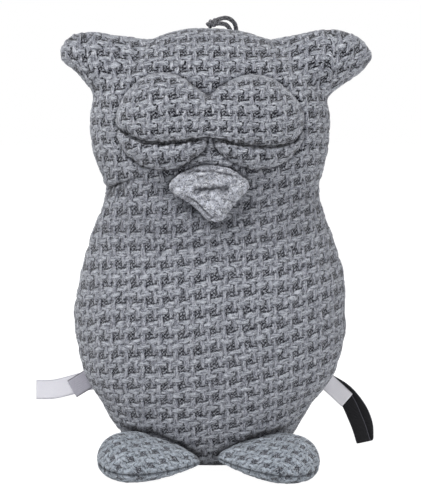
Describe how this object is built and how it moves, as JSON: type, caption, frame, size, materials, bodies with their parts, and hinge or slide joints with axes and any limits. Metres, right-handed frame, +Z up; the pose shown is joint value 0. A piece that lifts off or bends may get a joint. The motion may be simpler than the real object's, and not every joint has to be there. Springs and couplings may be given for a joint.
{
  "type": "plush owl",
  "caption": "Stuffed knitted owl that stands by itself, with eared head, padded eyelids, flap beak, leaf-shaped feet, seam ribbons and a knotted hanging cord.",
  "frame": {"origin": "on the floor, at the middle of the body's flattened base", "axes": "+Z up, the face looks towards -Y, +X to the right as seen from the front"},
  "size_m": [0.263, 0.1397, 0.3426],
  "materials": {
    "knit_cover": "chunky basket-weave knit of pale and dark grey yarn",
    "knit_beak": "the same knit worn fuzzy, paler",
    "knit_foot": "the same knit cut on the bias",
    "filling": "loose polyester fibre",
    "satin_ribbon": "woven satin, folded in two",
    "woven_tab_grey": "fine woven tab",
    "woven_tab_pale": "fine woven tab",
    "black_ribbon": "grosgrain ribbon",
    "braided_cord": "round braided cotton cord"
  },
  "bodies": {
    "owl": {"body_front_panel": "knit_cover", "body_back_panel": "knit_cover", "body_filling": "filling", "head_front_panel": "knit_cover", "head_back_panel": "knit_cover", "head_filling": "filling", "eyelid_cover": "knit_cover", "eyelid_filling": "filling", "eye_left_cover": "knit_cover", "eye_left_filling": "filling", "eye_right_cover": "knit_cover", "eye_right_filling": "filling", "hanging_cord_front": "braided_cord", "hanging_cord_back": "braided_cord", "hanging_knot": "braided_cord"},
    "beak": {"beak_front_panel": "knit_beak", "beak_back_panel": "knit_beak", "beak_filling": "filling"},
    "foot_left": {"foot_left_top_panel": "knit_foot", "foot_left_sole_panel": "knit_foot", "foot_left_filling": "filling"},
    "foot_right": {"foot_right_top_panel": "knit_foot", "foot_right_sole_panel": "knit_foot", "foot_right_filling": "filling"},
    "ribbon_left": {"ribbon_left": "satin_ribbon"},
    "tab_left": {"tab_left": "woven_tab_grey"},
    "ribbon_right": {"ribbon_right": "black_ribbon"},
    "tab_right": {"tab_right": "woven_tab_pale"}
  },
  "joints": [
    {"name": "beak_lift", "type": "hinge", "parent": "owl", "child": "beak", "pos_m": [-0.001, -0.0486, 0.2325], "axis": [-1, 0, 0], "range_deg": [0, 30], "stiffness_Nm_per_rad": 0.003},
    {"name": "foot_left_bend", "type": "hinge", "parent": "owl", "child": "foot_left", "pos_m": [-0.045, -0.03, 0.004], "axis": [0.9703, -0.2419, 0], "range_deg": [0, 30], "stiffness_Nm_per_rad": 0.04},
    {"name": "foot_right_bend", "type": "hinge", "parent": "owl", "child": "foot_right", "pos_m": [0.042, -0.03, 0.004], "axis": [0.9703, 0.2419, 0], "range_deg": [0, 30], "stiffness_Nm_per_rad": 0.04},
    {"name": "ribbon_left_flap", "type": "hinge", "parent": "owl", "child": "ribbon_left", "pos_m": [-0.0928, 0.0066, 0.062], "axis": [0.565, 0, -0.8251], "range_deg": [0, 60], "stiffness_Nm_per_rad": 0.0002},
    {"name": "tab_left_flap", "type": "hinge", "parent": "owl", "child": "tab_left", "pos_m": [-0.0945, 0.0039, 0.065], "axis": [-0.565, 0, 0.8251], "range_deg": [0, 60], "stiffness_Nm_per_rad": 0.0002},
    {"name": "ribbon_right_flap", "type": "hinge", "parent": "owl", "child": "ribbon_right", "pos_m": [0.0928, 0.0072, 0.062], "axis": [0.565, 0, 0.8251], "range_deg": [0, 60], "stiffness_Nm_per_rad": 0.0002},
    {"name": "tab_right_flap", "type": "hinge", "parent": "owl", "child": "tab_right", "pos_m": [0.0923, 0.0021, 0.061], "axis": [-0.565, 0, -0.8251], "range_deg": [0, 60], "stiffness_Nm_per_rad": 0.0002}
  ]
}
